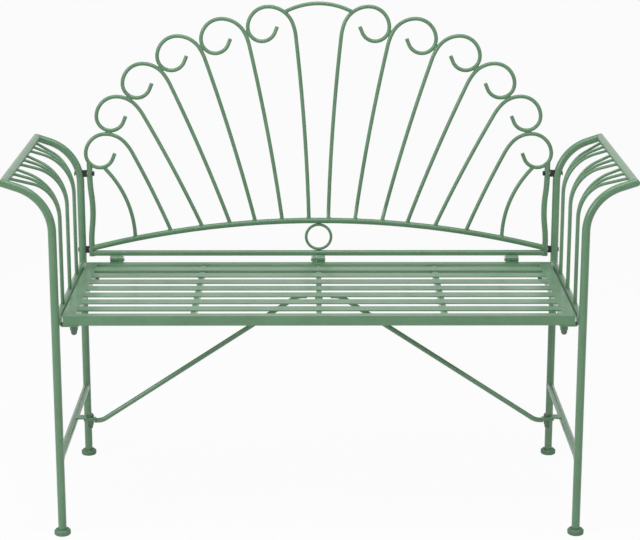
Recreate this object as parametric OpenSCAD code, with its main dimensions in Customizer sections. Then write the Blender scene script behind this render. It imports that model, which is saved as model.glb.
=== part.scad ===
// Metal garden bench: a slatted steel seat with a hinged scrollwork back, bolted between two side frames.
// Millimetres. +Z is up, the bench faces -Y, and the origin is on the floor under the middle of the bench.

/* [Seat] */
// Height of the seat's top face
seat_top = 444; // [400:1:480]
// Width of the seat
seat_w = 978; // [860:1:1180]
// Depth of the seat, front to back
seat_depth = 416; // [390:1:425]
// Width of the front and rear seat rails, seen from above
seat_rail_w = 19; // [16:0.5:24]
// Width of the seat's end rails, seen from above
end_rail_w = 24; // [18:0.5:32]
// Height of the seat frame's rails
seat_rail_h = 19; // [16:0.5:26]
// Wall of the seat frame's rails
seat_rail_wall = 1.5; // [1:0.1:2.5]
// Number of slats
slat_count = 7; // [5:1:8]
// Width of one slat
slat_w = 30; // [24:0.5:36]
// Thickness of one slat
slat_t = 2; // [1.5:0.1:3]
// Width of the bars under the slats
cross_bar_w = 10; // [8:0.5:14]
// Distance from the middle bar to the outer ones
cross_bar_pitch = 242; // [200:1:300]

/* [Side frames] */
// Distance from the seat frame's rear edge to the rear legs' centre line
seat_to_back = 44; // [40:1:70]
// Gap between the seat's end and the leg's inner side
seat_side_gap = 6; // [5:0.5:12]
// Outside diameter of the leg and arm tubes
leg_d = 16; // [15.5:0.5:20]
// Wall of the leg and arm tubes
leg_wall = 1.5; // [1:0.1:2.5]
// Height of the arm bar's centre line over the seat
arm_over_seat = 259; // [220:1:290]
// How far the arm bar stands outside the legs
arm_reach = 89; // [80:1:110]
// Height that the arm gains from the start of its bend to the arm bar
arm_rise = 95; // [85:1:115]
// Slope of the arm where it meets the arm bar, in degrees
arm_slope = 18.5; // [14:0.5:24]
// Outside diameter of the side rails and stretchers
rail_d = 15; // [12:0.5:15]
// Wall of the side rails and stretchers
rail_wall = 1.5; // [1:0.1:2.5]
// How far the side rail's centre line lies under the seat's top face
side_rail_drop = 14; // [10:1:20]
// Height of the stretcher's centre line
stretcher_z = 156; // [120:1:200]
// Diameter of the rods under the arms
arm_rod_d = 6; // [5:0.5:7]
// Bundles of three rods in each side frame
rod_bundles = 3; // [2:1:3]
// Diameter of the foot caps
foot_d = 32; // [28:0.5:40]
// Height of the foot caps
foot_h = 11; // [9:0.5:16]

/* [Back] */
// Outside diameter of the back's posts and rails
back_tube_d = 12; // [10:0.5:13]
// Wall of the back's posts and rails
back_wall = 1.2; // [1:0.1:1.6]
// Height of the lower rail's centre line over the seat
lower_rail_rise = 9; // [8:0.5:20]
// Rise of the arched rail from its ends to its middle
arch_rise = 59; // [45:1:75]
// Diameter of the scroll rods
rod_d = 8; // [6.5:0.5:9]
// Radius of the middle of a scroll, as a share of the crook's radius
mid_share = 0.79; // [0.7:0.01:0.9]
// Radius of the curl at a scroll's end, as a share of the crook's radius
curl_share = 0.54; // [0.45:0.01:0.65]
// Height of the outer crook's centre over the lower rail
outer_crook_rise = 203.5; // [185:0.5:215]
// Distance from the post's centre line in to the outer crook's centre
outer_crook_inset = 35.5; // [30:0.5:40]
// Distance from the bench's middle to the inner crook's centre
inner_crook_x = 104; // [98:1:112]
// Place of each scroll rod's foot, as a share of the way from the middle to the post
foot_share = [0.647, 0.509, 0.387, 0.277, 0.159, 0.0425];
// Angle above level at which each inner curl leans on its outer neighbour
lean_angle = [83, 62, 49, 31, 23.5];
// Distance from the post's centre line in to the side rod's foot
side_rod_inset = 93; // [80:1:110]
// How far the back's posts bow inward between their bolts
post_bow = 4.5; // [2:0.5:8]
// Rise of the crown rod from its ends to its middle
crown_rise = 18; // [12:1:22]
// Diameter of the ring's rod
ring_rod_d = 6; // [5:0.5:7]

/* [Hinges] */
// Outside diameter of a hinge barrel
barrel_d = 15; // [13:0.5:16]
// Diameter of a hinge pin
pin_d = 8; // [6:0.5:9]
// Length of the knuckle on the back
back_knuckle_l = 17.5; // [14:0.5:24]
// Length of the knuckle on the seat
seat_knuckle_l = 9; // [7:0.5:14]
// Height of the hinge axis over the seat's top face
hinge_rise = 5; // [4:0.5:8]
// Place of each hinge, as a share of the way from the middle to the post
hinge_share = [-0.884, 0, 0.847];
// Radial clearance of a pin in a knuckle
pin_clear = 0.05; // [0.02:0.01:0.1]

/* [Brace] */
// Diameter of the brace rod
brace_d = 10; // [8:0.5:12]
// Thickness of the brace rod's flattened parts
brace_flat_t = 5; // [4:0.5:6]
// Width of the flattened parts
brace_flat_w = 15; // [13:0.5:18]
// Half of the level stretch under the seat
brace_top_half = 42.5; // [38:0.5:80]
// Distance from the stretcher's centre line in to the brace bolt
brace_bolt_inset = 32; // [26:0.5:36]
// Distance from the brace bolt in to the start of the slope
brace_foot_run = 25; // [20:0.5:40]
// Bend radius of the brace rod
brace_bend_r = 30; // [20:1:40]

/* [Fasteners] */
// Thread diameter of the seat studs and brace bolts
stud_d = 8; // [6:0.5:8]
// Width across the flats of the dome nuts and hexagon heads
nut_af = 13; // [12:0.5:14]
// Height of a dome nut
nut_h = 19; // [13:0.5:21]
// Diameter of the bolts that hold the back
back_bolt_d = 6; // [5:0.5:7]
// Diameter of the plastic spacers between back and legs
spacer_d = 15; // [13:0.5:15]
// Length of the plastic spacers
spacer_l = 6; // [4:0.5:12]
// Height of the lower back bolts over the lower rail
low_bolt_rise = 8; // [6:0.5:10]
// Distance between the lower and upper back bolts
bolt_pitch_z = 165; // [150:1:170]

/* [Hidden] */
$fn = 64;
weld_gap = 0.1;
running_gap = 0.3;
hole_gap = 0.2;
plate_t = 3;
GREEN = [0.42, 0.50, 0.42];
DARK_GREEN = [0.32, 0.39, 0.33];
BLACK = [0.08, 0.08, 0.09];
STEEL = [0.55, 0.56, 0.56];

leg_pitch_y = seat_depth + seat_to_back;
front_y = -leg_pitch_y / 2;
rear_y = leg_pitch_y / 2;
leg_x = seat_w / 2 + seat_side_gap + leg_d / 2;
leg_inner_x = leg_x - leg_d / 2;
arm_x = leg_x + arm_reach;
arm_z = seat_top + arm_over_seat;
bend_z = arm_z - arm_rise;
side_rail_z = seat_top - side_rail_drop;
seat_bottom = seat_top - seat_rail_h;
seat_front = front_y;
seat_rear = seat_front + seat_depth;
slat_gap = (seat_depth - 2 * seat_rail_w - slat_count * slat_w) / (slat_count + 1);
slat_pitch = slat_w + slat_gap;
first_slat_y = seat_front + seat_rail_w + slat_gap;
foot_floor = 4;

post_x = leg_inner_x - spacer_l - back_tube_d / 2;
post_inner_x = post_x - back_tube_d / 2;
lower_rail_z = seat_top + lower_rail_rise;
arch_end_z = lower_rail_z + back_tube_d + weld_gap;
arch_r = (pow(post_inner_x, 2) + pow(arch_rise, 2)) / (2 * arch_rise);
arch_centre_z = arch_end_z + arch_rise - arch_r;
low_bolt_z = lower_rail_z + low_bolt_rise;
high_bolt_z = low_bolt_z + bolt_pitch_z;

// The bend of an arm or of a rod beside it, whose end lies reach away in plan and arm_rise higher
arm_turn = 90 - arm_slope;
function arm_bend_r(reach) =
    (arm_rise - reach * tan(arm_slope)) / (sin(arm_turn) - (1 - cos(arm_turn)) * tan(arm_slope));
function arm_straight(reach) = (reach - arm_bend_r(reach) * (1 - cos(arm_turn))) / cos(arm_slope);
// How far the curved side of an arm tube has moved out at height z
function bend_shift(z, radius) = z > bend_z ? radius * (1 - cos(asin((z - bend_z) / radius))) : 0;

// Scroll rods, laid out in the XZ plane of the right half
bow_turn = 5;
shoulder_r = 110;
shoulder_turn = 14;
tail_lean = 338;
tail_l = 13;
scroll_count = len(foot_share);
// The crook's radius that lets the row of scrolls reach from the post to the inner crook
scroll_run = post_x - outer_crook_inset - inner_crook_x;
lean_run = sum([for (a = lean_angle) cos(a)]);
crook_r = (scroll_run - lean_run * (rod_d + weld_gap))
    / (lean_run * (1 + curl_share) + len(lean_angle) * (mid_share - curl_share));
mid_r = mid_share * crook_r;
curl_r = curl_share * crook_r;
curl_step = -[mid_r - curl_r, crook_r - mid_r];
contact_pitch = crook_r + curl_r + rod_d + weld_gap;
function sum(list, i = 0) = i < len(list) ? list[i] + sum(list, i + 1) : 0;
function crook_centre(i) = i == 0
    ? [post_x - outer_crook_inset, lower_rail_z + outer_crook_rise]
    : crook_centre(i - 1) + contact_pitch * [-cos(lean_angle[i - 1]), sin(lean_angle[i - 1])] + curl_step;
function curl_centre(i) = crook_centre(i) - curl_step;
function arch_z(x) = arch_centre_z + sqrt(pow(arch_r, 2) - pow(x, 2));
function rod_foot(i) = [post_x * foot_share[i], arch_z(post_x * foot_share[i])];
// Place of the crook's centre, seen from the end of the bowed shank
crook_side = shoulder_r - (shoulder_r - crook_r) * cos(shoulder_turn);
crook_ahead = (shoulder_r - crook_r) * sin(shoulder_turn);
chord_side = crook_side * cos(bow_turn / 2) + crook_ahead * sin(bow_turn / 2);
chord_ahead = crook_ahead * cos(bow_turn / 2) - crook_side * sin(bow_turn / 2);
function foot_to_crook(i) = norm(crook_centre(i) - rod_foot(i));
function chord_lean(i) =
    let (v = crook_centre(i) - rod_foot(i)) atan2(v[0], v[1]) - asin(chord_side / foot_to_crook(i));
function chord_l(i) = sqrt(pow(foot_to_crook(i), 2) - pow(chord_side, 2)) - chord_ahead;

hinge_y = seat_rear + barrel_d / 2 + running_gap;
hinge_z = seat_top + hinge_rise;
knuckle_gap = 0.5;
hinge_l = back_knuckle_l + knuckle_gap + seat_knuckle_l;

bracket_w = 22;
bracket_l = 36;
bracket_h = 16;
bracket_t = 2;
bracket_bend_r = 4;
bracket_top = seat_bottom - weld_gap;
stud_x = seat_w / 2 - end_rail_w + 4;
stud_y = [seat_front + seat_rail_w / 2, seat_rear - seat_rail_w / 2];

// The brace stands under the gap between two slats, so that its middle bolt passes between them
brace_y = first_slat_y + ceil(slat_count / 2) * slat_pitch - slat_gap / 2;
brace_flat_over = 0.2;
brace_flat_top = brace_d / 2 + brace_flat_over;
brace_mid_z = seat_bottom - weld_gap - brace_flat_top;
tab_z = stretcher_z + 4;
brace_end_z = tab_z - weld_gap - brace_flat_top;
brace_bolt_x = leg_x - brace_bolt_inset;
brace_flat_l = 24;
brace_slope = atan((brace_mid_z - brace_end_z) / (brace_bolt_x - brace_foot_run - brace_top_half));
brace_tangent = brace_bend_r * tan(brace_slope / 2);
head_h = 5.5;

// Shared forms

module profile(d, wall) {
    difference() {
        circle(d = d);
        if (wall > 0) circle(d = d - 2 * wall);
    }
}

// A straight stretch of tube or rod along +Z
module straight(l, d, wall = 0) {
    linear_extrude(height = l) profile(d, wall);
}

// An arc about the extrusion's axis, starting at +X, drawn finer where its radius is large
module arc_sweep(r, turn, d, wall = 0) {
    rotate_extrude(angle = turn, $fn = r < 200 ? 96 : 256) translate([r, 0]) profile(d, wall, $fn = 64);
}

// A bend that leaves the origin along +Z and turns towards +X, or towards -X where its turn is negative
module bend(r, turn, d, wall = 0) {
    mirror([turn < 0 ? 1 : 0, 0, 0]) translate([r, 0, 0]) rotate([90, 0, 180]) arc_sweep(r, abs(turn), d, wall);
}

// Moves what follows a bend to the bend's end
module after_bend(r, turn) {
    translate([sign(turn) * r * (1 - cos(turn)), 0, r * sin(abs(turn))]) rotate([0, turn, 0]) children();
}

// Tube or rod bent in the XZ plane: each step is [length], or [radius, turn] with a negative turn towards -X.
// Stretches stop a hair short of the next one, and a core a little thinner than the bar joins them.
module bent_bar(steps, d, wall = 0, i = 0) {
    hair = 0.02;
    inset = 0.05;
    core_l = 0.6;
    if (i < len(steps)) {
        step = steps[i];
        short = i < len(steps) - 1 ? hair : 0;
        if (i > 0) translate([0, 0, -core_l / 2]) straight(core_l, d - 2 * inset, max(wall - 2 * inset, 0));
        if (len(step) == 1) {
            straight(step[0] - short, d, wall);
            translate([0, 0, step[0]]) bent_bar(steps, d, wall, i + 1);
        } else {
            bend(step[0], step[1] - sign(step[1]) * short / step[0] * 180 / PI, d, wall);
            after_bend(step[0], step[1]) bent_bar(steps, d, wall, i + 1);
        }
    }
}

// A rod along +X
module rod_x(l, d) {
    rotate([0, 90, 0]) cylinder(h = l, d = d);
}

// The room that a leg's straight stretch takes up, for coping what meets it
module leg_room(y) {
    translate([leg_x, y, 0]) cylinder(h = arm_z, d = leg_d + 2 * weld_gap);
}

// A whole ring in the back's plane
module ring(centre, radius, d) {
    translate([centre[0], rear_y, centre[1]]) rotate([90, 0, 0])
        rotate_extrude($fn = 96) translate([radius, 0]) profile(d, 0, $fn = 64);
}

// The room that a curl of scroll rod takes up
module ring_room(centre, radius) {
    ring(centre, radius, rod_d + 2 * weld_gap);
}

// A low arc in the back's plane, symmetric about the middle of the bench
module back_arc(r, centre_z, half_w, d) {
    half_turn = asin(half_w / r);
    translate([0, rear_y, centre_z]) rotate([90, 0, 0]) rotate([0, 0, 90 - half_turn])
        arc_sweep(r, 2 * half_turn, d);
}

module on_side(side) {
    mirror([side == "left" ? 1 : 0, 0, 0]) children();
}

// Side frames, drawn on the right

// Half-space beyond the mitre between an arm and the arm bar; y_side is the side where the bar lies
module mitre_cut(y_side) {
    size = 4 * leg_d;
    rotate([0, -arm_slope, 0]) rotate([0, 0, 45 * y_side])
        translate([weld_gap / 2, -size / 2, -size / 2]) cube(size);
}

module leg(y) {
    y_side = y < 0 ? 1 : -1;
    radius = arm_bend_r(arm_reach);
    color(GREEN) difference() {
        translate([leg_x, y, foot_floor + weld_gap]) bent_bar([
            [bend_z - foot_floor - weld_gap],
            [radius, arm_turn],
            [arm_straight(arm_reach) + leg_d]
        ], leg_d, leg_wall);
        translate([arm_x, y, arm_z]) mitre_cut(y_side);
        if (y > 0) for (z = [low_bolt_z, high_bolt_z])
            translate([leg_x - leg_d, y, z]) rod_x(2 * leg_d, back_bolt_d + 2 * hole_gap);
    }
}

module arm_bar() {
    color(GREEN) difference() {
        translate([arm_x, front_y - leg_d, arm_z]) rotate([-90, 0, 0])
            straight(leg_pitch_y + 2 * leg_d, leg_d, leg_wall);
        translate([arm_x, front_y, arm_z]) mirror_mitre(1);
        translate([arm_x, rear_y, arm_z]) mirror_mitre(-1);
    }
}

// The same mitre's other side, which trims the bar
module mirror_mitre(y_side) {
    size = 4 * leg_d;
    rotate([0, -arm_slope, 0]) rotate([0, 0, 45 * y_side])
        translate([-size - weld_gap / 2, -size / 2, -size / 2]) cube(size);
}

// A level tube between the front and rear leg, coped to both
module leg_to_leg(z) {
    color(GREEN) difference() {
        translate([leg_x, front_y, z]) rotate([-90, 0, 0]) straight(leg_pitch_y, rail_d, rail_wall);
        leg_room(front_y);
        leg_room(rear_y);
    }
}

// Bundles of three rods that rise from the side rail and fan out to the arm bar
module arm_rods() {
    prongs = 3 * rod_bundles + 1;
    foot_z = side_rail_z + rail_d / 2 + weld_gap;
    for (b = [1:rod_bundles], k = [-1:1]) {
        bundle_y = front_y + leg_pitch_y * b / (rod_bundles + 1);
        foot_y = bundle_y + k * (arm_rod_d + weld_gap);
        tip_y = front_y + leg_pitch_y * (3 * b - 1 + k) / prongs;
        reach = norm([arm_reach, tip_y - foot_y]);
        color(GREEN) difference() {
            translate([leg_x, foot_y, foot_z]) rotate([0, 0, atan2(tip_y - foot_y, arm_reach)])
                bent_bar([
                    [bend_z - foot_z],
                    [arm_bend_r(reach), arm_turn],
                    [arm_straight(reach)]
                ], arm_rod_d);
            translate([arm_x, front_y, arm_z]) rotate([0, -arm_slope, 0])
                translate([-leg_d / 2 - weld_gap, 0, -leg_d]) cube([2 * leg_d, leg_pitch_y, 2 * leg_d]);
        }
    }
}

module foot_cap() {
    edge = 3;
    color(DARK_GREEN) difference() {
        rotate_extrude() polygon([
            [0, 0], [foot_d / 2 - edge / 2, 0], [foot_d / 2, edge / 2], [foot_d / 2, foot_h - edge],
            [foot_d / 2 - edge, foot_h], [0, foot_h]
        ]);
        translate([0, 0, foot_floor]) cylinder(h = foot_h, d = leg_d + 2 * hole_gap);
    }
}

module foot_caps() {
    for (x = [-leg_x, leg_x], y = [front_y, rear_y]) translate([x, y, 0]) foot_cap();
}

// L-shaped bracket: one flange on the side frame, the other under the seat, with a rounded bend between them
module seat_bracket(y) {
    outer_r = bracket_bend_r + bracket_t;
    middle = [-outer_r, bracket_bend_r];
    profile_points = concat(
        [[-bracket_l, -bracket_t]],
        [for (a = [0:10:90]) middle + outer_r * [sin(a), -cos(a)]],
        [[0, bracket_h], [-bracket_t, bracket_h]],
        [for (a = [90:-10:0]) middle + bracket_bend_r * [sin(a), -cos(a)]],
        [[-bracket_l, 0]]
    );
    color(GREEN) difference() {
        translate([leg_inner_x - weld_gap, y + bracket_w / 2, bracket_top])
            rotate([90, 0, 0]) linear_extrude(height = bracket_w) polygon(profile_points);
        translate([stud_x, y, bracket_top - 2 * plate_t]) cylinder(h = 3 * plate_t, d = stud_d + 2 * hole_gap);
    }
}

module seat_brackets() {
    for (side = ["left", "right"], y = stud_y) on_side(side) seat_bracket(y);
}

// Flat tab on the stretcher that carries the brace rod's end
module brace_tab() {
    tip_x = brace_bolt_x - brace_flat_w / 2;
    color(GREEN) difference() {
        translate([tip_x, brace_y - brace_flat_w / 2 - plate_t, tab_z])
            cube([leg_x - tip_x, brace_flat_w + 2 * plate_t, plate_t]);
        translate([leg_x, front_y, stretcher_z]) rotate([-90, 0, 0])
            cylinder(h = leg_pitch_y, d = rail_d + 2 * weld_gap);
        translate([brace_bolt_x, brace_y, tab_z - plate_t]) cylinder(h = 3 * plate_t, d = stud_d + 2 * hole_gap);
    }
}

module brace_tabs() {
    for (side = ["left", "right"]) on_side(side) brace_tab();
}

// Seat frame

// Plan of a rail of the seat frame, mitred at both ends
module front_plan() {
    polygon([
        [-seat_w / 2, seat_front], [seat_w / 2, seat_front],
        [seat_w / 2 - end_rail_w, seat_front + seat_rail_w], [-seat_w / 2 + end_rail_w, seat_front + seat_rail_w]
    ]);
}

module end_plan() {
    polygon([
        [seat_w / 2, seat_front + weld_gap],
        [seat_w / 2, seat_rear - weld_gap],
        [seat_w / 2 - end_rail_w, seat_rear - seat_rail_w - weld_gap],
        [seat_w / 2 - end_rail_w, seat_front + seat_rail_w + weld_gap]
    ]);
}

module seat_front_rail() {
    color(GREEN) difference() {
        translate([0, 0, seat_bottom]) linear_extrude(height = seat_rail_h) front_plan();
        translate([-seat_w / 2, seat_front + seat_rail_wall, seat_bottom + seat_rail_wall])
            cube([seat_w, seat_rail_w - 2 * seat_rail_wall, seat_rail_h - 2 * seat_rail_wall]);
        for (x = [-stud_x, stud_x]) translate([x, stud_y[0], seat_bottom - plate_t])
            cylinder(h = 2 * plate_t, d = stud_d + 2 * hole_gap);
    }
}

module seat_rear_rail() {
    translate([0, seat_front + seat_rear, 0]) mirror([0, 1, 0]) seat_front_rail();
}

module seat_end_rail() {
    color(GREEN) difference() {
        translate([0, 0, seat_bottom]) linear_extrude(height = seat_rail_h) end_plan();
        translate([seat_w / 2 - end_rail_w + seat_rail_wall, seat_front, seat_bottom + seat_rail_wall])
            cube([end_rail_w - 2 * seat_rail_wall, seat_depth, seat_rail_h - 2 * seat_rail_wall]);
    }
}

module seat_slat(i) {
    half = seat_w / 2 - end_rail_w - weld_gap;
    color(GREEN) translate([-half, first_slat_y + (i - 1) * slat_pitch, seat_top - slat_t])
        cube([2 * half, slat_w, slat_t]);
}

module cross_bar(x) {
    start_y = seat_front + seat_rail_w + weld_gap;
    end_y = seat_rear - seat_rail_w - weld_gap;
    color(GREEN) difference() {
        translate([x - cross_bar_w / 2, start_y, seat_bottom])
            cube([cross_bar_w, end_y - start_y, seat_rail_h - slat_t - weld_gap]);
        if (x == 0) translate([0, brace_y, seat_bottom - plate_t])
            cylinder(h = seat_rail_h + plate_t, d = back_bolt_d + 2 * hole_gap);
    }
}

// Fasteners

// Stud with its head inside the seat rail, reaching down through the bracket
module seat_stud(x, y) {
    head_z = seat_bottom + seat_rail_wall + weld_gap;
    tip_z = bracket_top - bracket_t - nut_h + stud_d / 2;
    color(STEEL) translate([x, y, 0]) {
        translate([0, 0, tip_z]) cylinder(h = head_z - tip_z, d = stud_d);
        translate([0, 0, head_z]) cylinder(h = plate_t, d = seat_rail_w - 2 * seat_rail_wall - 2);
    }
}

module seat_studs() {
    for (x = [-stud_x, stud_x], y = stud_y) seat_stud(x, y);
}

// Dome nut that hangs from z = 0, open at the top for its bolt
module dome_nut(bolt) {
    hex_h = nut_h / 2;
    dome_d = nut_af - 1;
    color(DARK_GREEN) difference() {
        union() {
            translate([0, 0, -hex_h]) cylinder(h = hex_h, d = nut_af / cos(30), $fn = 6);
            translate([0, 0, -nut_h + dome_d / 2]) cylinder(h = nut_h - dome_d / 2 - hex_h / 2, d = dome_d);
            translate([0, 0, -nut_h + dome_d / 2]) sphere(d = dome_d);
        }
        translate([0, 0, -nut_h + bolt / 2 - hole_gap]) cylinder(h = nut_h, d = bolt + 2 * hole_gap);
    }
}

module dome_nuts() {
    nut_z = bracket_top - bracket_t - weld_gap;
    brace_nut_z = brace_end_z + brace_flat_top - brace_flat_t - weld_gap;
    for (x = [-stud_x, stud_x], y = stud_y) translate([x, y, nut_z]) dome_nut(stud_d);
    for (x = [-brace_bolt_x, brace_bolt_x]) translate([x, brace_y, brace_nut_z]) dome_nut(stud_d);
    translate([0, brace_y, brace_mid_z + brace_flat_top - brace_flat_t - weld_gap]) dome_nut(back_bolt_d);
}

// Brace

// Half of the brace rod, from the middle out to the right
module brace_half() {
    slope_l = (brace_bolt_x - brace_foot_run - brace_top_half) / cos(brace_slope);
    rod_start = brace_flat_l;
    translate([rod_start, brace_y, brace_mid_z]) rotate([0, 90, 0]) bent_bar([
        [brace_top_half - rod_start - brace_tangent],
        [brace_bend_r, brace_slope],
        [slope_l - 2 * brace_tangent],
        [brace_bend_r, -brace_slope],
        [brace_foot_run - brace_tangent - brace_flat_l / 2 + plate_t]
    ], brace_d);
    translate([brace_bolt_x - brace_flat_l / 2, brace_y - brace_flat_w / 2, brace_end_z + brace_flat_top - brace_flat_t])
        cube([brace_flat_l, brace_flat_w, brace_flat_t]);
}

module brace_rod() {
    middle_half = brace_flat_l + plate_t;
    color(GREEN) difference() {
        union() {
            brace_half();
            mirror([1, 0, 0]) brace_half();
            translate([-middle_half, brace_y - brace_flat_w / 2, brace_mid_z + brace_flat_top - brace_flat_t])
                cube([2 * middle_half, brace_flat_w, brace_flat_t]);
        }
        for (x = [-brace_bolt_x, brace_bolt_x]) translate([x, brace_y, brace_end_z - brace_d])
            cylinder(h = 2 * brace_d, d = stud_d + 2 * hole_gap);
        translate([0, brace_y, brace_mid_z - brace_d]) cylinder(h = 2 * brace_d, d = back_bolt_d + 2 * hole_gap);
    }
}

// Hexagon bolt with its head's underside at z = 0
module hex_bolt(d, reach, af, head) {
    color(DARK_GREEN) {
        translate([0, 0, -reach]) cylinder(h = reach, d = d);
        cylinder(h = head, d = af / cos(30), $fn = 6);
    }
}

module brace_bolts() {
    tab_top = tab_z + plate_t + weld_gap;
    grip = 2 * weld_gap + plate_t + brace_flat_t + nut_h / 2;
    low_head = 0.9 * slat_t;
    for (x = [-brace_bolt_x, brace_bolt_x])
        translate([x, brace_y, tab_top]) hex_bolt(stud_d, grip, nut_af, head_h);
    translate([0, brace_y, seat_top - slat_t])
        hex_bolt(back_bolt_d, seat_rail_h - slat_t + brace_flat_t + nut_h / 2, cross_bar_w, low_head);
}

// Hinges: mirrored on the left, so that the seat's knuckle lies towards the middle there

module at_hinges() {
    for (share = hinge_share)
        translate([share * post_x, 0, 0]) mirror([share < 0 ? 1 : 0, 0, 0]) children();
}

// A barrel along +X from x, bored for the pin
module barrel(x, l) {
    translate([x, hinge_y, hinge_z]) rod_x(l, barrel_d);
}

module pin_bore() {
    translate([-hinge_l, hinge_y, hinge_z]) rod_x(2 * hinge_l, pin_d + 2 * pin_clear);
}

module seat_knuckles() {
    leaf_h = seat_rail_h * 0.8;
    color(GREEN) at_hinges() difference() {
        union() {
            barrel(-hinge_l / 2, seat_knuckle_l);
            translate([-hinge_l / 2, seat_rear + weld_gap, seat_top - leaf_h])
                cube([seat_knuckle_l, plate_t, leaf_h + hinge_rise]);
        }
        pin_bore();
    }
}

module back_knuckles() {
    start_x = hinge_l / 2 - back_knuckle_l;
    strap_top = lower_rail_z - back_tube_d / 2 - weld_gap;
    strap_y = hinge_y + barrel_d / 3;
    color(GREEN) at_hinges() difference() {
        union() {
            barrel(start_x, back_knuckle_l);
            translate([start_x, strap_y, strap_top - plate_t])
                cube([back_knuckle_l, rear_y + back_tube_d / 2 - strap_y, plate_t]);
        }
        pin_bore();
    }
}

module hinge_pins() {
    head_l = 2;
    head_d = pin_d + 3;
    color(STEEL) at_hinges() {
        translate([-hinge_l / 2 - head_l - knuckle_gap, hinge_y, hinge_z]) rod_x(head_l, head_d);
        translate([-hinge_l / 2 - knuckle_gap, hinge_y, hinge_z]) rod_x(hinge_l + 2 * knuckle_gap, pin_d);
    }
}

// Back

module back_lower_rail() {
    color(GREEN) difference() {
        translate([-post_x, rear_y, lower_rail_z]) rotate([0, 90, 0]) straight(2 * post_x, back_tube_d, back_wall);
        for (x = [-post_x, post_x]) post_room(x);
    }
}

module post_room(x) {
    translate([x, rear_y, lower_rail_z - 2 * back_tube_d])
        cylinder(h = 6 * back_tube_d, d = back_tube_d + 2 * weld_gap);
}

// An arc between two straight stubs, so that the post is coped into straight tube
module back_arch_rail() {
    stub = 2 * back_tube_d;
    half_turn = asin((post_x - stub * cos(asin(post_x / arch_r))) / arch_r);
    end_z = arch_centre_z + arch_r * cos(half_turn) - stub * sin(half_turn);
    color(GREEN) difference() {
        translate([-post_x, rear_y, end_z]) rotate([0, 90 - half_turn, 0])
            bent_bar([[stub], [arch_r, 2 * half_turn], [stub]], back_tube_d, back_wall);
        for (x = [-post_x, post_x]) post_room(x);
    }
}

module back_post() {
    post_bottom = lower_rail_z - back_tube_d / 2;
    curl = curl_centre(0);
    post_top = curl[1] - sqrt(pow(curl_r, 2) - pow(post_x - curl[0], 2));
    bow_start = arch_end_z + back_tube_d / 2 + 3;
    bow_end = high_bolt_z - spacer_d / 2;
    quarter = (bow_end - bow_start) / 4;
    turn = 2 * atan(post_bow / 2 / quarter);
    radius = quarter / sin(turn);
    color(GREEN) difference() {
        translate([post_x, rear_y, post_bottom]) bent_bar([
            [bow_start - post_bottom],
            [radius, -turn],
            [radius, 2 * turn],
            [radius, -turn],
            [post_top - bow_end]
        ], back_tube_d, back_wall);
        ring_room(curl, curl_r);
        for (z = [low_bolt_z, high_bolt_z])
            translate([post_x, rear_y, z]) rod_x(back_tube_d, insert_d + 2 * weld_gap);
        translate([post_x - back_tube_d, rear_y, high_bolt_z]) rod_x(back_tube_d, cap_stem_d + 2 * weld_gap);
    }
}

module scroll_rod(i) {
    foot = rod_foot(i);
    lean = chord_lean(i);
    bow_r = chord_l(i) / (2 * sin(bow_turn / 2));
    color(GREEN) difference() {
        translate([foot[0], rear_y, foot[1]]) rotate([0, lean - bow_turn / 2, 0]) bent_bar([
            [bow_r, bow_turn],
            [shoulder_r, shoulder_turn],
            [crook_r, 90 - lean - bow_turn / 2 - shoulder_turn],
            [mid_r, 90],
            [curl_r, tail_lean - 180],
            [tail_l]
        ], rod_d);
        arch_room();
    }
}

module arch_room() {
    back_arc(arch_r, arch_centre_z, post_x, back_tube_d + 2 * weld_gap);
}

// Short bowed rod from the arched rail to the outer curl
module side_rod() {
    landing = 15;
    foot_x = post_x - side_rod_inset;
    foot_z = arch_z(foot_x);
    curl = curl_centre(0);
    run = curl[0] - curl_r * sin(landing) - foot_x;
    rise = curl[1] - curl_r * cos(landing) - foot_z;
    bow_r = (pow(run, 2) + pow(rise, 2)) / (2 * run);
    color(GREEN) difference() {
        translate([foot_x, rear_y, foot_z]) bend(bow_r, asin(rise / bow_r), rod_d);
        arch_room();
        ring_room(curl, curl_r);
    }
}

module crown_rod() {
    seat_angle = 38;
    last = crook_centre(scroll_count - 1);
    half = last[0] - crook_r * sin(seat_angle);
    end_z = last[1] + crook_r * cos(seat_angle);
    crown_r = (pow(half, 2) + pow(crown_rise, 2)) / (2 * crown_rise);
    color(GREEN) difference() {
        back_arc(crown_r, end_z + crown_rise - crown_r, half, rod_d);
        ring_room(last, crook_r);
        mirror([1, 0, 0]) ring_room(last, crook_r);
    }
}

module back_ring() {
    low_z = lower_rail_z + back_tube_d / 2 + weld_gap;
    high_z = arch_end_z + arch_rise - back_tube_d / 2 - weld_gap;
    color(GREEN) ring([0, (low_z + high_z) / 2], (high_z - low_z - ring_rod_d) / 2, ring_rod_d);
}

// Bolts through the rear legs, each with a spacer that the back's post lies against
insert_d = 8;
cap_stem_d = 5;
cap_d = 10;
cap_l = 3.5;
spacer_depth = 9;
bolt_head_d = 1.6 * back_bolt_d;
spacer_end_x = post_x + back_tube_d / 2 + running_gap;

module back_bolts() {
    bolt_head_h = 1.2;
    for (side = ["left", "right"], z = [low_bolt_z, high_bolt_z]) on_side(side) {
        head_top = z + bolt_head_d / 2;
        head_x = leg_x + leg_d / 2 + bend_shift(head_top, arm_bend_r(arm_reach) - leg_d / 2) + weld_gap;
        color(DARK_GREEN) {
            translate([spacer_end_x, rear_y, z]) rod_x(head_x - spacer_end_x, back_bolt_d);
            translate([head_x, rear_y, z]) rod_x(bolt_head_h, bolt_head_d);
        }
    }
}

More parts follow.
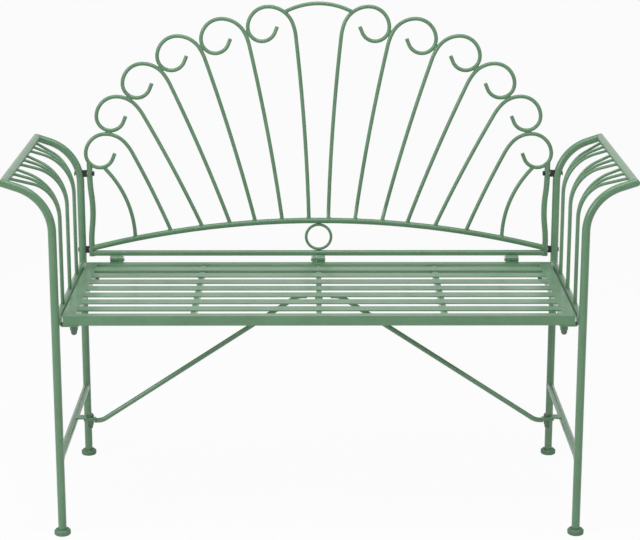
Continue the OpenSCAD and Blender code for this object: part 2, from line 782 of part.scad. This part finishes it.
module back_spacers() {
    for (side = ["left", "right"], z = [low_bolt_z, high_bolt_z]) on_side(side) color(BLACK) difference() {
        intersection() {
            translate([spacer_end_x, rear_y, z]) rod_x(leg_x - spacer_end_x, spacer_d);
            translate([spacer_end_x - 1, rear_y - spacer_depth / 2, z - spacer_d]) cube([leg_d, spacer_depth, 2 * spacer_d]);
        }
        translate([leg_x, rear_y, 0]) bent_bar([[bend_z], [arm_bend_r(arm_reach), arm_turn]], leg_d + 2 * weld_gap);
        translate([spacer_end_x - 1, rear_y, z]) rod_x(leg_x, back_bolt_d + 2 * hole_gap);
    }
}

// Threaded inserts in the posts' outer walls, which take the bolts
module post_inserts() {
    color(STEEL) for (side = ["left", "right"], z = [low_bolt_z, high_bolt_z]) on_side(side) difference() {
        translate([post_x, rear_y, z]) rod_x(back_tube_d / 2, insert_d);
        translate([post_x - 1, rear_y, z]) rod_x(back_tube_d, back_bolt_d);
    }
}

module post_caps() {
    color(BLACK) for (side = ["left", "right"]) on_side(side) {
        translate([post_inner_x - cap_l - weld_gap, rear_y, high_bolt_z]) rod_x(cap_l, cap_d);
        translate([post_inner_x - cap_l, rear_y, high_bolt_z]) rod_x(cap_l + back_tube_d / 3, cap_stem_d);
    }
}

on_side("left") leg(front_y);  // front_leg_left
leg(front_y);  // front_leg_right
on_side("left") leg(rear_y);  // rear_leg_left
leg(rear_y);  // rear_leg_right
rotate([0, 0, 180]) arm_rods();  // arm_rods_left
arm_rods();  // arm_rods_right
foot_caps();
seat_brackets();
brace_tabs();
for (side = ["left", "right"]) on_side(side) {
    arm_bar();
    leg_to_leg(side_rail_z);
    leg_to_leg(stretcher_z);
    seat_end_rail();
    back_post();
    side_rod();
    for (i = [1:scroll_count]) scroll_rod(i - 1);
}
seat_front_rail();
seat_rear_rail();
for (i = [1:slat_count]) seat_slat(i);
cross_bar(-cross_bar_pitch);  // cross_bar_left
cross_bar(0);  // cross_bar_middle
cross_bar(cross_bar_pitch);  // cross_bar_right
seat_studs();
dome_nuts();
brace_rod();
brace_bolts();
seat_knuckles();
back_knuckles();
hinge_pins();
back_lower_rail();
back_arch_rail();
crown_rod();
back_ring();
back_bolts();
back_spacers();
post_inserts();
post_caps();
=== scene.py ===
"""Looks of the metal garden bench: paint, weld beads, floor, light and camera.

Everything is in metres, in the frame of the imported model: +Z up, the bench faces -Y.
"""

import math

import bmesh
import bpy
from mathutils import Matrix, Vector


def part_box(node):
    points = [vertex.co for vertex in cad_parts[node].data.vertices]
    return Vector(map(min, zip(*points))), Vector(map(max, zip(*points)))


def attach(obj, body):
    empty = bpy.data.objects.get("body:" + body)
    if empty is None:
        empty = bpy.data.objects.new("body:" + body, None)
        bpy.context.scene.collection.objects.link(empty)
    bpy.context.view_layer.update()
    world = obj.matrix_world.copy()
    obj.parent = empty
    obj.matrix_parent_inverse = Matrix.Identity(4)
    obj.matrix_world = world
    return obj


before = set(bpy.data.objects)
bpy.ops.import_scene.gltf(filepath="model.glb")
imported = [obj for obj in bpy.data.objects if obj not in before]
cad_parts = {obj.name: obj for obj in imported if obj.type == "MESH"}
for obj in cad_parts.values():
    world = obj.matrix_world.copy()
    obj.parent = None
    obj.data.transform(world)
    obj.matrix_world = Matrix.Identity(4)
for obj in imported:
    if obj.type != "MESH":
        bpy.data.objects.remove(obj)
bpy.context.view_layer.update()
MM = 0.001

# Sizes that the weld beads need, as the model has them
RAIL_R = 7.5 * MM
LEG_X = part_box("side_rail_right")[0].x + RAIL_R
LEG_R = 8 * MM
REAR_Y = 230 * MM
FRONT_Y = -REAR_Y
SIDE_RAIL_Z = 430 * MM
STRETCHER_Z = 156 * MM
ARM_X = 592 * MM
ARM_Z = 703 * MM
ARM_SLOPE = math.radians(18.5)
ARM_ROD_R = 3 * MM
ARM_ROD_PITCH = 6.1 * MM
BUNDLES = 3
POST_X = 483 * MM
POST_R = 6 * MM
LOWER_RAIL_Z = 453 * MM
ARCH_END_Z = 465.1 * MM
ARCH_RISE = 59 * MM
ARCH_R = 1957.7 * MM
ROD_R = 4 * MM
CROOK_R = 54.04 * MM
MID_R = 0.79 * CROOK_R
CURL_R = 0.54 * CROOK_R
OUTER_CROOK = (POST_X - 35.5 * MM, LOWER_RAIL_Z + 203.5 * MM)
WELD_GAP = 0.1 * MM
FOOT_SHARES = [0.647, 0.509, 0.387, 0.277, 0.159, 0.0425]
LEAN_ANGLES = [83, 62, 49, 31, 23.5]
SIDE_ROD_X = 390 * MM

# Radii of the weld beads
ARM_ROD_BEAD = 0.9 * MM
RAIL_BEAD = 1.1 * MM
BACK_BEAD = 1.0 * MM
CONTACT_BEAD = 1.7 * MM


def deg(angle):
    return math.radians(angle)


def new_mesh_object(name, mesh_data):
    """A mesh object from a bmesh, linked and smooth shaded."""
    mesh = bpy.data.meshes.new(name)
    mesh_data.to_mesh(mesh)
    mesh_data.free()
    for polygon in mesh.polygons:
        polygon.use_smooth = True
    piece = bpy.data.objects.new(name, mesh)
    bpy.context.scene.collection.objects.link(piece)
    return piece


# Materials


def node_material(name):
    material = bpy.data.materials.new(name)
    material.use_nodes = True
    tree = material.node_tree
    shader = tree.nodes["Principled BSDF"]
    return material, tree, shader


def noise(tree, scale, detail, roughness, coordinate):
    node = tree.nodes.new("ShaderNodeTexNoise")
    node.inputs["Scale"].default_value = scale
    node.inputs["Detail"].default_value = detail
    node.inputs["Roughness"].default_value = roughness
    tree.links.new(coordinate, node.inputs["Vector"])
    return node.outputs["Fac"]


def ramp(tree, factor, low, high, low_value, high_value):
    node = tree.nodes.new("ShaderNodeMapRange")
    node.inputs["From Min"].default_value = low
    node.inputs["From Max"].default_value = high
    node.inputs["To Min"].default_value = low_value
    node.inputs["To Max"].default_value = high_value
    tree.links.new(factor, node.inputs["Value"])
    return node.outputs["Result"]


def mix_colour(tree, factor, first, second):
    node = tree.nodes.new("ShaderNodeMix")
    node.data_type = "RGBA"
    tree.links.new(factor, node.inputs["Factor"])
    # Sockets 6 and 7 are the colour versions of A and B, and output 2 is the colour result
    for socket, value in ((node.inputs[6], first), (node.inputs[7], second)):
        if isinstance(value, tuple):
            socket.default_value = (*value, 1)
        else:
            tree.links.new(value, socket)
    return node.outputs[2]


def painted_metal(name, colour, roughness, mottle=0.07):
    """Powder coat over steel: faint tone changes, orange-peel bumps and slightly uneven gloss."""
    cloud_scale, speckle_scale, gloss_scale, peel_scale = 14, 900, 260, 700
    material, tree, shader = node_material(name)
    place = tree.nodes.new("ShaderNodeTexCoord").outputs["Object"]
    light = tuple(min(1, c * (1 + mottle)) for c in colour)
    dark = tuple(c * (1 - mottle) for c in colour)
    broad = noise(tree, cloud_scale, 4, 0.6, place)
    tone = mix_colour(tree, ramp(tree, broad, 0.35, 0.65, 0, 1), dark, light)
    speckle = noise(tree, speckle_scale, 2, 0.5, place)
    dust = tuple(min(1, c * 1.16 + 0.01) for c in colour)
    tone = mix_colour(tree, ramp(tree, speckle, 0.60, 0.78, 0, 0.5), tone, dust)
    tree.links.new(tone, shader.inputs["Base Color"])
    fine = noise(tree, gloss_scale, 3, 0.55, place)
    gloss = ramp(tree, fine, 0.3, 0.7, roughness - 0.05, roughness + 0.06)
    tree.links.new(gloss, shader.inputs["Roughness"])
    peel = noise(tree, peel_scale, 2, 0.5, place)
    bump = tree.nodes.new("ShaderNodeBump")
    bump.inputs["Strength"].default_value = 0.18
    bump.inputs["Distance"].default_value = 0.15 * MM
    tree.links.new(peel, bump.inputs["Height"])
    tree.links.new(bump.outputs["Normal"], shader.inputs["Normal"])
    shader.inputs["Metallic"].default_value = 0
    shader.inputs["IOR"].default_value = 1.5
    shader.inputs["Coat Weight"].default_value = 0.3
    shader.inputs["Coat Roughness"].default_value = 0.22
    return material


def moulded_plastic(name, colour, roughness):
    """Plastic from a finely grained mould, with faint tone changes."""
    grain_scale, cloud_scale = 1500, 40
    material, tree, shader = node_material(name)
    place = tree.nodes.new("ShaderNodeTexCoord").outputs["Object"]
    grain = noise(tree, grain_scale, 2, 0.6, place)
    broad = noise(tree, cloud_scale, 3, 0.5, place)
    dark = tuple(c * 0.9 for c in colour)
    light = tuple(c * 1.1 for c in colour)
    tone = mix_colour(tree, ramp(tree, broad, 0.3, 0.7, 0, 1), dark, light)
    tree.links.new(tone, shader.inputs["Base Color"])
    gloss = ramp(tree, grain, 0.3, 0.7, roughness - 0.06, roughness + 0.08)
    tree.links.new(gloss, shader.inputs["Roughness"])
    bump = tree.nodes.new("ShaderNodeBump")
    bump.inputs["Strength"].default_value = 0.25
    bump.inputs["Distance"].default_value = 0.08 * MM
    tree.links.new(grain, bump.inputs["Height"])
    tree.links.new(bump.outputs["Normal"], shader.inputs["Normal"])
    return material


def plated_steel(name, colour, roughness):
    """Zinc plate with a fine uneven tone."""
    grain_scale = 350
    material, tree, shader = node_material(name)
    place = tree.nodes.new("ShaderNodeTexCoord").outputs["Object"]
    streak = noise(tree, grain_scale, 3, 0.6, place)
    tone = mix_colour(tree, streak, tuple(c * 0.85 for c in colour), colour)
    tree.links.new(tone, shader.inputs["Base Color"])
    gloss = ramp(tree, streak, 0.3, 0.7, roughness - 0.06, roughness + 0.08)
    tree.links.new(gloss, shader.inputs["Roughness"])
    shader.inputs["Metallic"].default_value = 1
    return material


SAGE = (0.112, 0.236, 0.126)
GREEN = painted_metal("sage_paint", SAGE, 0.35)
GREEN_DARK = painted_metal("sage_paint_dark", (0.070, 0.140, 0.078), 0.45)
FOOT_PLASTIC = moulded_plastic("sage_foot_plastic", (0.100, 0.195, 0.112), 0.55)
BLACK_PLASTIC = moulded_plastic("black_plastic", (0.012, 0.012, 0.013), 0.5)
STEEL = plated_steel("zinc_plate", (0.56, 0.56, 0.55), 0.35)

NODE_MATERIALS = {
    "foot_caps": FOOT_PLASTIC,
    "dome_nuts": GREEN_DARK,
    "brace_bolts": GREEN_DARK,
    "back_spacers": BLACK_PLASTIC,
    "post_caps": BLACK_PLASTIC,
    "seat_studs": STEEL,
    "post_inserts": STEEL,
    "hinge_pins": STEEL,
}
for node_name, node_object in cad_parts.items():
    material = NODE_MATERIALS.get(node_name, GREEN)
    node_object.data.materials.clear()
    node_object.data.materials.append(material)

# Rolled edges on the flat strip and box tube: radius in millimetres by the start of a node's name
STRIP_EDGE = 0.5
BOX_EDGE = 1.6
SOFT_EDGES = {
    "seat_slat": STRIP_EDGE,
    "cross_bar": STRIP_EDGE,
    "seat_front_rail": BOX_EDGE,
    "seat_rear_rail": BOX_EDGE,
    "seat_end_rail": BOX_EDGE,
}
for node_name, node_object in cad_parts.items():
    for prefix, width in SOFT_EDGES.items():
        if node_name.startswith(prefix):
            bevel = node_object.modifiers.new("rolled_edges", "BEVEL")
            bevel.width = width * MM
            bevel.segments = 3
            bevel.limit_method = "ANGLE"
            bevel.angle_limit = deg(60)
            bevel.harden_normals = False

# Weld beads


def unit(x, y, z):
    return Vector((x, y, z)).normalized()


def ripple(index, turn):
    """How far a weld bead swells or narrows at one place along it, different for each bead."""
    return 1 + 0.16 * math.sin(7 * turn + 2.4 * index) + 0.09 * math.sin(13 * turn + 1.3 * index)


def add_ring(work, centres, outwards, sections, closed):
    """Adds a bead: a ring of points round each centre, square to the path."""
    corners = 10
    rings = []
    count = len(centres)
    for i, centre in enumerate(centres):
        before = centres[(i - 1) % count] if closed or i else centre
        after = centres[(i + 1) % count] if closed or i < count - 1 else centre
        along = (after - before).normalized()
        side = outwards[i].cross(along).normalized()
        up = along.cross(side)
        wide, high = sections[i]
        ring = []
        for k in range(corners):
            angle = 2 * math.pi * k / corners
            offset = side * wide * math.cos(angle) + up * high * math.sin(angle)
            ring.append(work.verts.new(centre + offset))
        rings.append(ring)
    spans = count if closed else count - 1
    for i in range(spans):
        first = rings[i]
        second = rings[(i + 1) % count]
        for k in range(corners):
            j = (k + 1) % corners
            work.faces.new((first[k], first[j], second[j], second[k]))
    if not closed:
        work.faces.new(list(reversed(rings[0])))
        work.faces.new(rings[-1])


def saddle_bead(work, index, foot, direction, rod_r, tube_point, tube_axis, tube_r, bead):
    """A bead where a rod, running from the foot along direction, meets a round tube."""
    side = direction.orthogonal().normalized()
    other = direction.cross(side)
    steps = 28
    centres = []
    outwards = []
    sections = []
    for i in range(steps):
        turn = 2 * math.pi * i / steps
        radial = side * math.cos(turn) + other * math.sin(turn)
        start = foot + radial * rod_r - tube_point
        start -= tube_axis * start.dot(tube_axis)
        ray = direction - tube_axis * direction.dot(tube_axis)
        a = ray.dot(ray)
        b = 2 * start.dot(ray)
        c = start.dot(start) - tube_r ** 2
        inside = max(b * b - 4 * a * c, 0)
        reach = (-b + math.sqrt(inside)) / (2 * a)
        centres.append(foot + radial * rod_r + direction * reach)
        outwards.append(radial)
        size = bead * ripple(index, turn)
        sections.append((size, size))
    add_ring(work, centres, outwards, sections, closed=True)


def straight_bead(work, index, start, end, outward, bead):
    """A bead laid along a straight seam, thin at both ends."""
    steps = 12
    centres = []
    sections = []
    for i in range(steps + 1):
        share = i / steps
        size = bead * ripple(index, 5 * share) * (0.35 + 0.65 * math.sin(math.pi * share) ** 0.5)
        centres.append(start.lerp(end, share))
        sections.append((size, size))
    add_ring(work, centres, [outward] * (steps + 1), sections, closed=False)


def finish_beads(work, name, body):
    piece = new_mesh_object(name, work)
    piece.data.materials.append(GREEN)
    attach(piece, body)


def side_frame_welds(side_name, s):
    work = bmesh.new()
    along_y = Vector((0, 1, 0))
    up = Vector((0, 0, 1))
    index = 0
    prongs = 3 * BUNDLES + 1
    span = REAR_Y - FRONT_Y
    for b in range(1, BUNDLES + 1):
        for k in (-1, 0, 1):
            foot_y = FRONT_Y + span * b / (BUNDLES + 1) + k * ARM_ROD_PITCH
            tip_y = FRONT_Y + span * (3 * b - 1 + k) / prongs
            rail = Vector((s * LEG_X, 0, SIDE_RAIL_Z))
            foot = Vector((s * LEG_X, foot_y, SIDE_RAIL_Z))
            saddle_bead(work, index, foot, up, ARM_ROD_R, rail, along_y, RAIL_R, ARM_ROD_BEAD)
            heading = math.atan2(tip_y - foot_y, ARM_X - LEG_X)
            out = unit(
                s * math.cos(ARM_SLOPE) * math.cos(heading),
                math.cos(ARM_SLOPE) * math.sin(heading),
                math.sin(ARM_SLOPE),
            )
            tip = Vector((s * ARM_X, tip_y, ARM_Z))
            saddle_bead(work, index + 1, tip, -out, ARM_ROD_R, tip, along_y, LEG_R, ARM_ROD_BEAD)
            index += 2
    for z in (SIDE_RAIL_Z, STRETCHER_Z):
        for y, inward in ((FRONT_Y, along_y), (REAR_Y, -along_y)):
            leg = Vector((s * LEG_X, y, z))
            saddle_bead(work, index, leg, inward, RAIL_R, leg, up, LEG_R, RAIL_BEAD)
            index += 1
    finish_beads(work, "weld_beads_side_" + side_name, "base")


def arch_z(x):
    return ARCH_END_Z + ARCH_RISE - ARCH_R + math.sqrt(ARCH_R ** 2 - x * x)


def scroll_centres():
    """Centres of the crooks and curls of the right half, outermost first, as (x, z)."""
    step = (CURL_R - MID_R, MID_R - CROOK_R)
    pitch = CROOK_R + CURL_R + 2 * ROD_R + WELD_GAP
    crooks = [OUTER_CROOK]
    for angle in LEAN_ANGLES:
        x, z = crooks[-1]
        crooks.append((
            x - pitch * math.cos(deg(angle)) + step[0],
            z + pitch * math.sin(deg(angle)) + step[1],
        ))
    curls = [(x - step[0], z - step[1]) for x, z in crooks]
    return crooks, curls


def back_welds(side_name, s):
    # The stems bow, so at the foot a rod leans by this share of its chord's lean
    foot_lean_share = 0.8
    contact_offset = 1.6 * MM
    contact_half_l = 7 * MM
    work = bmesh.new()
    along_y = Vector((0, 1, 0))
    up = Vector((0, 0, 1))
    crooks, curls = scroll_centres()
    index = 0
    # Feet of the scroll rods and of the side rod on the arched rail
    rod_feet = [share * POST_X for share in FOOT_SHARES] + [SIDE_ROD_X]
    for i, x in enumerate(rod_feet):
        foot = Vector((s * x, REAR_Y, arch_z(x)))
        tilt = math.asin(x / ARCH_R)
        tube_axis = unit(s * math.cos(tilt), 0, -math.sin(tilt))
        lean = 0
        if i < len(crooks):
            crook_x, crook_z = crooks[i]
            lean = foot_lean_share * math.atan2(crook_x - x, crook_z - foot.z)
        direction = unit(s * math.sin(lean), 0, math.cos(lean))
        saddle_bead(work, index, foot, direction, ROD_R, foot, tube_axis, POST_R, BACK_BEAD)
        index += 1
    # Each curl leans on its outer neighbour's crook
    for i, angle in enumerate(LEAN_ANGLES):
        x = curls[i + 1][0] + (CURL_R + ROD_R) * math.cos(deg(angle))
        z = curls[i + 1][1] - (CURL_R + ROD_R) * math.sin(deg(angle))
        across = unit(s * math.sin(deg(angle)), 0, math.cos(deg(angle)))
        for face in (-1, 1):
            middle = Vector((s * x, REAR_Y + face * contact_offset, z))
            half = across * contact_half_l
            straight_bead(work, index, middle - half, middle + half, along_y * face, CONTACT_BEAD)
            index += 1
    # Rails against the post
    post = Vector((s * POST_X, REAR_Y, LOWER_RAIL_Z))
    saddle_bead(work, index, post, Vector((-s, 0, 0)), POST_R, post, up, POST_R, BACK_BEAD)
    slope = math.asin(POST_X / ARCH_R)
    end = Vector((s * POST_X, REAR_Y, arch_z(POST_X)))
    rail = unit(-s * math.cos(slope), 0, math.sin(slope))
    saddle_bead(work, index + 1, end, rail, POST_R, end, up, POST_R, BACK_BEAD)
    finish_beads(work, "weld_beads_back_" + side_name, "backrest")


for side_name, s in (("left", -1), ("right", 1)):
    side_frame_welds(side_name, s)
    back_welds(side_name, s)

# Floor and backdrop: one pale sheet that curves up behind the bench


def make_floor():
    # The rest of what the camera sees is lit by the lamps, and shows the bench's shadow
    glow_share = 0.94
    work = bmesh.new()
    half_w = 9.0
    near = -7.0
    far = 3.2
    bend_r = 1.6
    height = 6.0
    profile = [(near, 0.0), (far, 0.0)]
    bend_steps = 16
    for i in range(1, bend_steps + 1):
        turn = math.pi / 2 * i / bend_steps
        profile.append((far + bend_r * math.sin(turn), bend_r * (1 - math.cos(turn))))
    profile.append((far + bend_r, height))
    rows = [[work.verts.new((x, y, z)) for x in (-half_w, half_w)] for y, z in profile]
    for low, high in zip(rows, rows[1:]):
        work.faces.new((low[0], low[1], high[1], high[0]))
    floor = new_mesh_object("floor", work)
    material, tree, shader = node_material("pale_floor")
    shader.inputs["Base Color"].default_value = (0.72, 0.73, 0.72, 1)
    shader.inputs["Roughness"].default_value = 0.9
    glow = tree.nodes.new("ShaderNodeEmission")
    glow.inputs["Color"].default_value = (1, 1, 1, 1)
    glow.inputs["Strength"].default_value = 1
    rays = tree.nodes.new("ShaderNodeLightPath")
    seen = tree.nodes.new("ShaderNodeMath")
    seen.operation = "MAXIMUM"
    tree.links.new(rays.outputs["Is Camera Ray"], seen.inputs[0])
    tree.links.new(rays.outputs["Is Glossy Ray"], seen.inputs[1])
    share = tree.nodes.new("ShaderNodeMath")
    share.operation = "MULTIPLY"
    share.inputs[1].default_value = glow_share
    tree.links.new(seen.outputs[0], share.inputs[0])
    blend = tree.nodes.new("ShaderNodeMixShader")
    tree.links.new(share.outputs[0], blend.inputs[0])
    tree.links.new(shader.outputs[0], blend.inputs[1])
    tree.links.new(glow.outputs[0], blend.inputs[2])
    tree.links.new(blend.outputs[0], tree.nodes["Material Output"].inputs["Surface"])
    floor.data.materials.append(material)


make_floor()

# World: an even pale studio


def make_world():
    world = bpy.data.worlds.new("studio")
    bpy.context.scene.world = world
    world.use_nodes = True
    tree = world.node_tree
    ambient = tree.nodes["Background"]
    ambient.inputs["Color"].default_value = (0.95, 0.98, 1.0, 1)
    ambient.inputs["Strength"].default_value = 0.28
    white = tree.nodes.new("ShaderNodeBackground")
    white.inputs["Color"].default_value = (1, 1, 1, 1)
    white.inputs["Strength"].default_value = 1
    rays = tree.nodes.new("ShaderNodeLightPath")
    blend = tree.nodes.new("ShaderNodeMixShader")
    tree.links.new(rays.outputs["Is Camera Ray"], blend.inputs[0])
    tree.links.new(ambient.outputs[0], blend.inputs[1])
    tree.links.new(white.outputs[0], blend.inputs[2])
    tree.links.new(blend.outputs[0], tree.nodes["World Output"].inputs["Surface"])


make_world()


def add_lamp(name, place, target, size, power):
    data = bpy.data.lights.new(name, "AREA")
    data.shape = "RECTANGLE"
    data.size = size[0]
    data.size_y = size[1]
    data.energy = power
    lamp = bpy.data.objects.new(name, data)
    lamp.location = place
    lamp.rotation_euler = (Vector(target) - Vector(place)).to_track_quat("-Z", "Y").to_euler()
    bpy.context.scene.collection.objects.link(lamp)


# Name, place, aim, width and height in metres, power in watts
add_lamp("overhead_softbox", (0, -0.6, 3.2), (0, 0, 0.4), (2.6, 1.8), 56)
add_lamp("left_softbox", (-3.0, -2.4, 2.0), (0, 0, 0.5), (1.2, 1.6), 76)
add_lamp("right_softbox", (3.0, -2.2, 1.8), (0, 0, 0.5), (1.2, 1.6), 26)

# Camera: in front of the bench and higher than its back, looking down at it


def make_camera():
    image_w = 640
    focal_px = 1935
    look_down = 14.55
    look_right = 0.172
    data = bpy.data.cameras.new("camera")
    data.sensor_width = 36
    data.lens = data.sensor_width * focal_px / image_w
    data.clip_end = 50
    camera = bpy.data.objects.new("camera", data)
    camera.location = (-0.009, -3.776, 1.455)
    camera.rotation_euler = (deg(90 - look_down), 0, deg(-look_right))
    bpy.context.scene.collection.objects.link(camera)
    bpy.context.scene.camera = camera


make_camera()
bpy.context.scene.view_settings.view_transform = "Standard"
